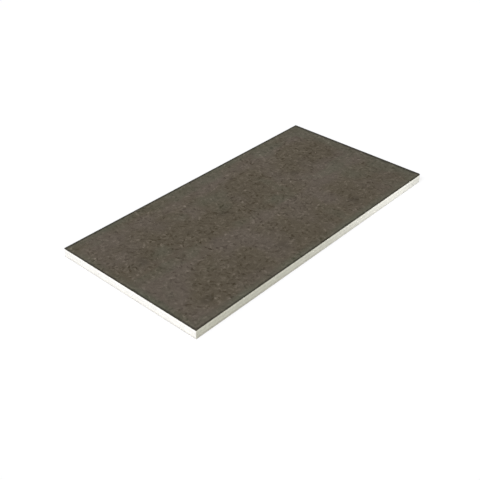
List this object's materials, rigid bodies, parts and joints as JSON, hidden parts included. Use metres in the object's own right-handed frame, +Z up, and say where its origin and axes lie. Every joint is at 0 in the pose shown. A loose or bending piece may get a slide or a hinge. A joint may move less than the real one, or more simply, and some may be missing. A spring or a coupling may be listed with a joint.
{
  "type": "polyiso insulation board",
  "caption": "Flat rigid insulation board: a pale closed-cell foam core bonded between dark mottled felt facers, laid on roof decks or fixed to wall framing.",
  "frame": {"origin": "centre of the underside, on the plane that the board lies on", "axes": "+X along the length, +Y across the width, +Z up through the thickness, towards the top facer"},
  "size_m": [2.4384, 1.2192, 0.0635],
  "materials": {
    "foam": "matte sawn closed-cell foam, pale cream, with faint rise lines and pinholes",
    "felt": "matte glass-reinforced cellulose felt, mottled grey-brown, darker along its cut edges"
  },
  "bodies": {
    "root": {"foam_core": "foam", "top_facer": "felt", "bottom_facer": "felt"}
  },
  "joints": []
}
